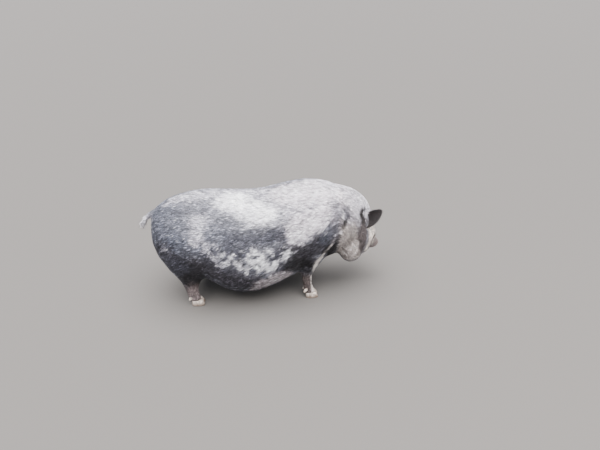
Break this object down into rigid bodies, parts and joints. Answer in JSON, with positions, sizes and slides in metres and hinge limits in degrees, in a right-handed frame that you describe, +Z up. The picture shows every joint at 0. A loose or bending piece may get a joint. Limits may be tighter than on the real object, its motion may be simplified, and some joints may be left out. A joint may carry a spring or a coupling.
{
  "type": "pot-bellied pig",
  "caption": "Life-size heavy pot-bellied pig with a grizzled grey coat, standing with its head lowered and turned to its left.",
  "frame": {"origin": "middle of the bounding box, on the floor the hooves stand on", "axes": "+X the way the body faces, +Y to the pig's left, +Z up"},
  "size_m": [1.1302, 0.4675, 0.5393],
  "materials": {
    "hide": "matte, covered with short bristles",
    "ear": "matte",
    "tail": "matte",
    "horn": "satin horn",
    "eye": "wet gloss"
  },
  "bodies": {
    "root": {"ear_left": "ear", "ear_right": "ear", "eye_left": "eye", "eye_right": "eye", "fore_left_dewclaw_inner": "horn", "fore_left_dewclaw_outer": "horn", "fore_left_toe_inner": "horn", "fore_left_toe_outer": "horn", "fore_right_dewclaw_inner": "horn", "fore_right_dewclaw_outer": "horn", "fore_right_toe_inner": "horn", "fore_right_toe_outer": "horn", "foreleg_left": "hide", "foreleg_right": "hide", "head": "hide", "hind_left_dewclaw_inner": "horn", "hind_left_dewclaw_outer": "horn", "hind_left_toe_inner": "horn", "hind_left_toe_outer": "horn", "hind_right_dewclaw_inner": "horn", "hind_right_dewclaw_outer": "horn", "hind_right_toe_inner": "horn", "hind_right_toe_outer": "horn", "hindleg_left": "hide", "hindleg_right": "hide", "neck": "hide", "tail": "tail", "torso": "hide"}
  },
  "joints": []
}
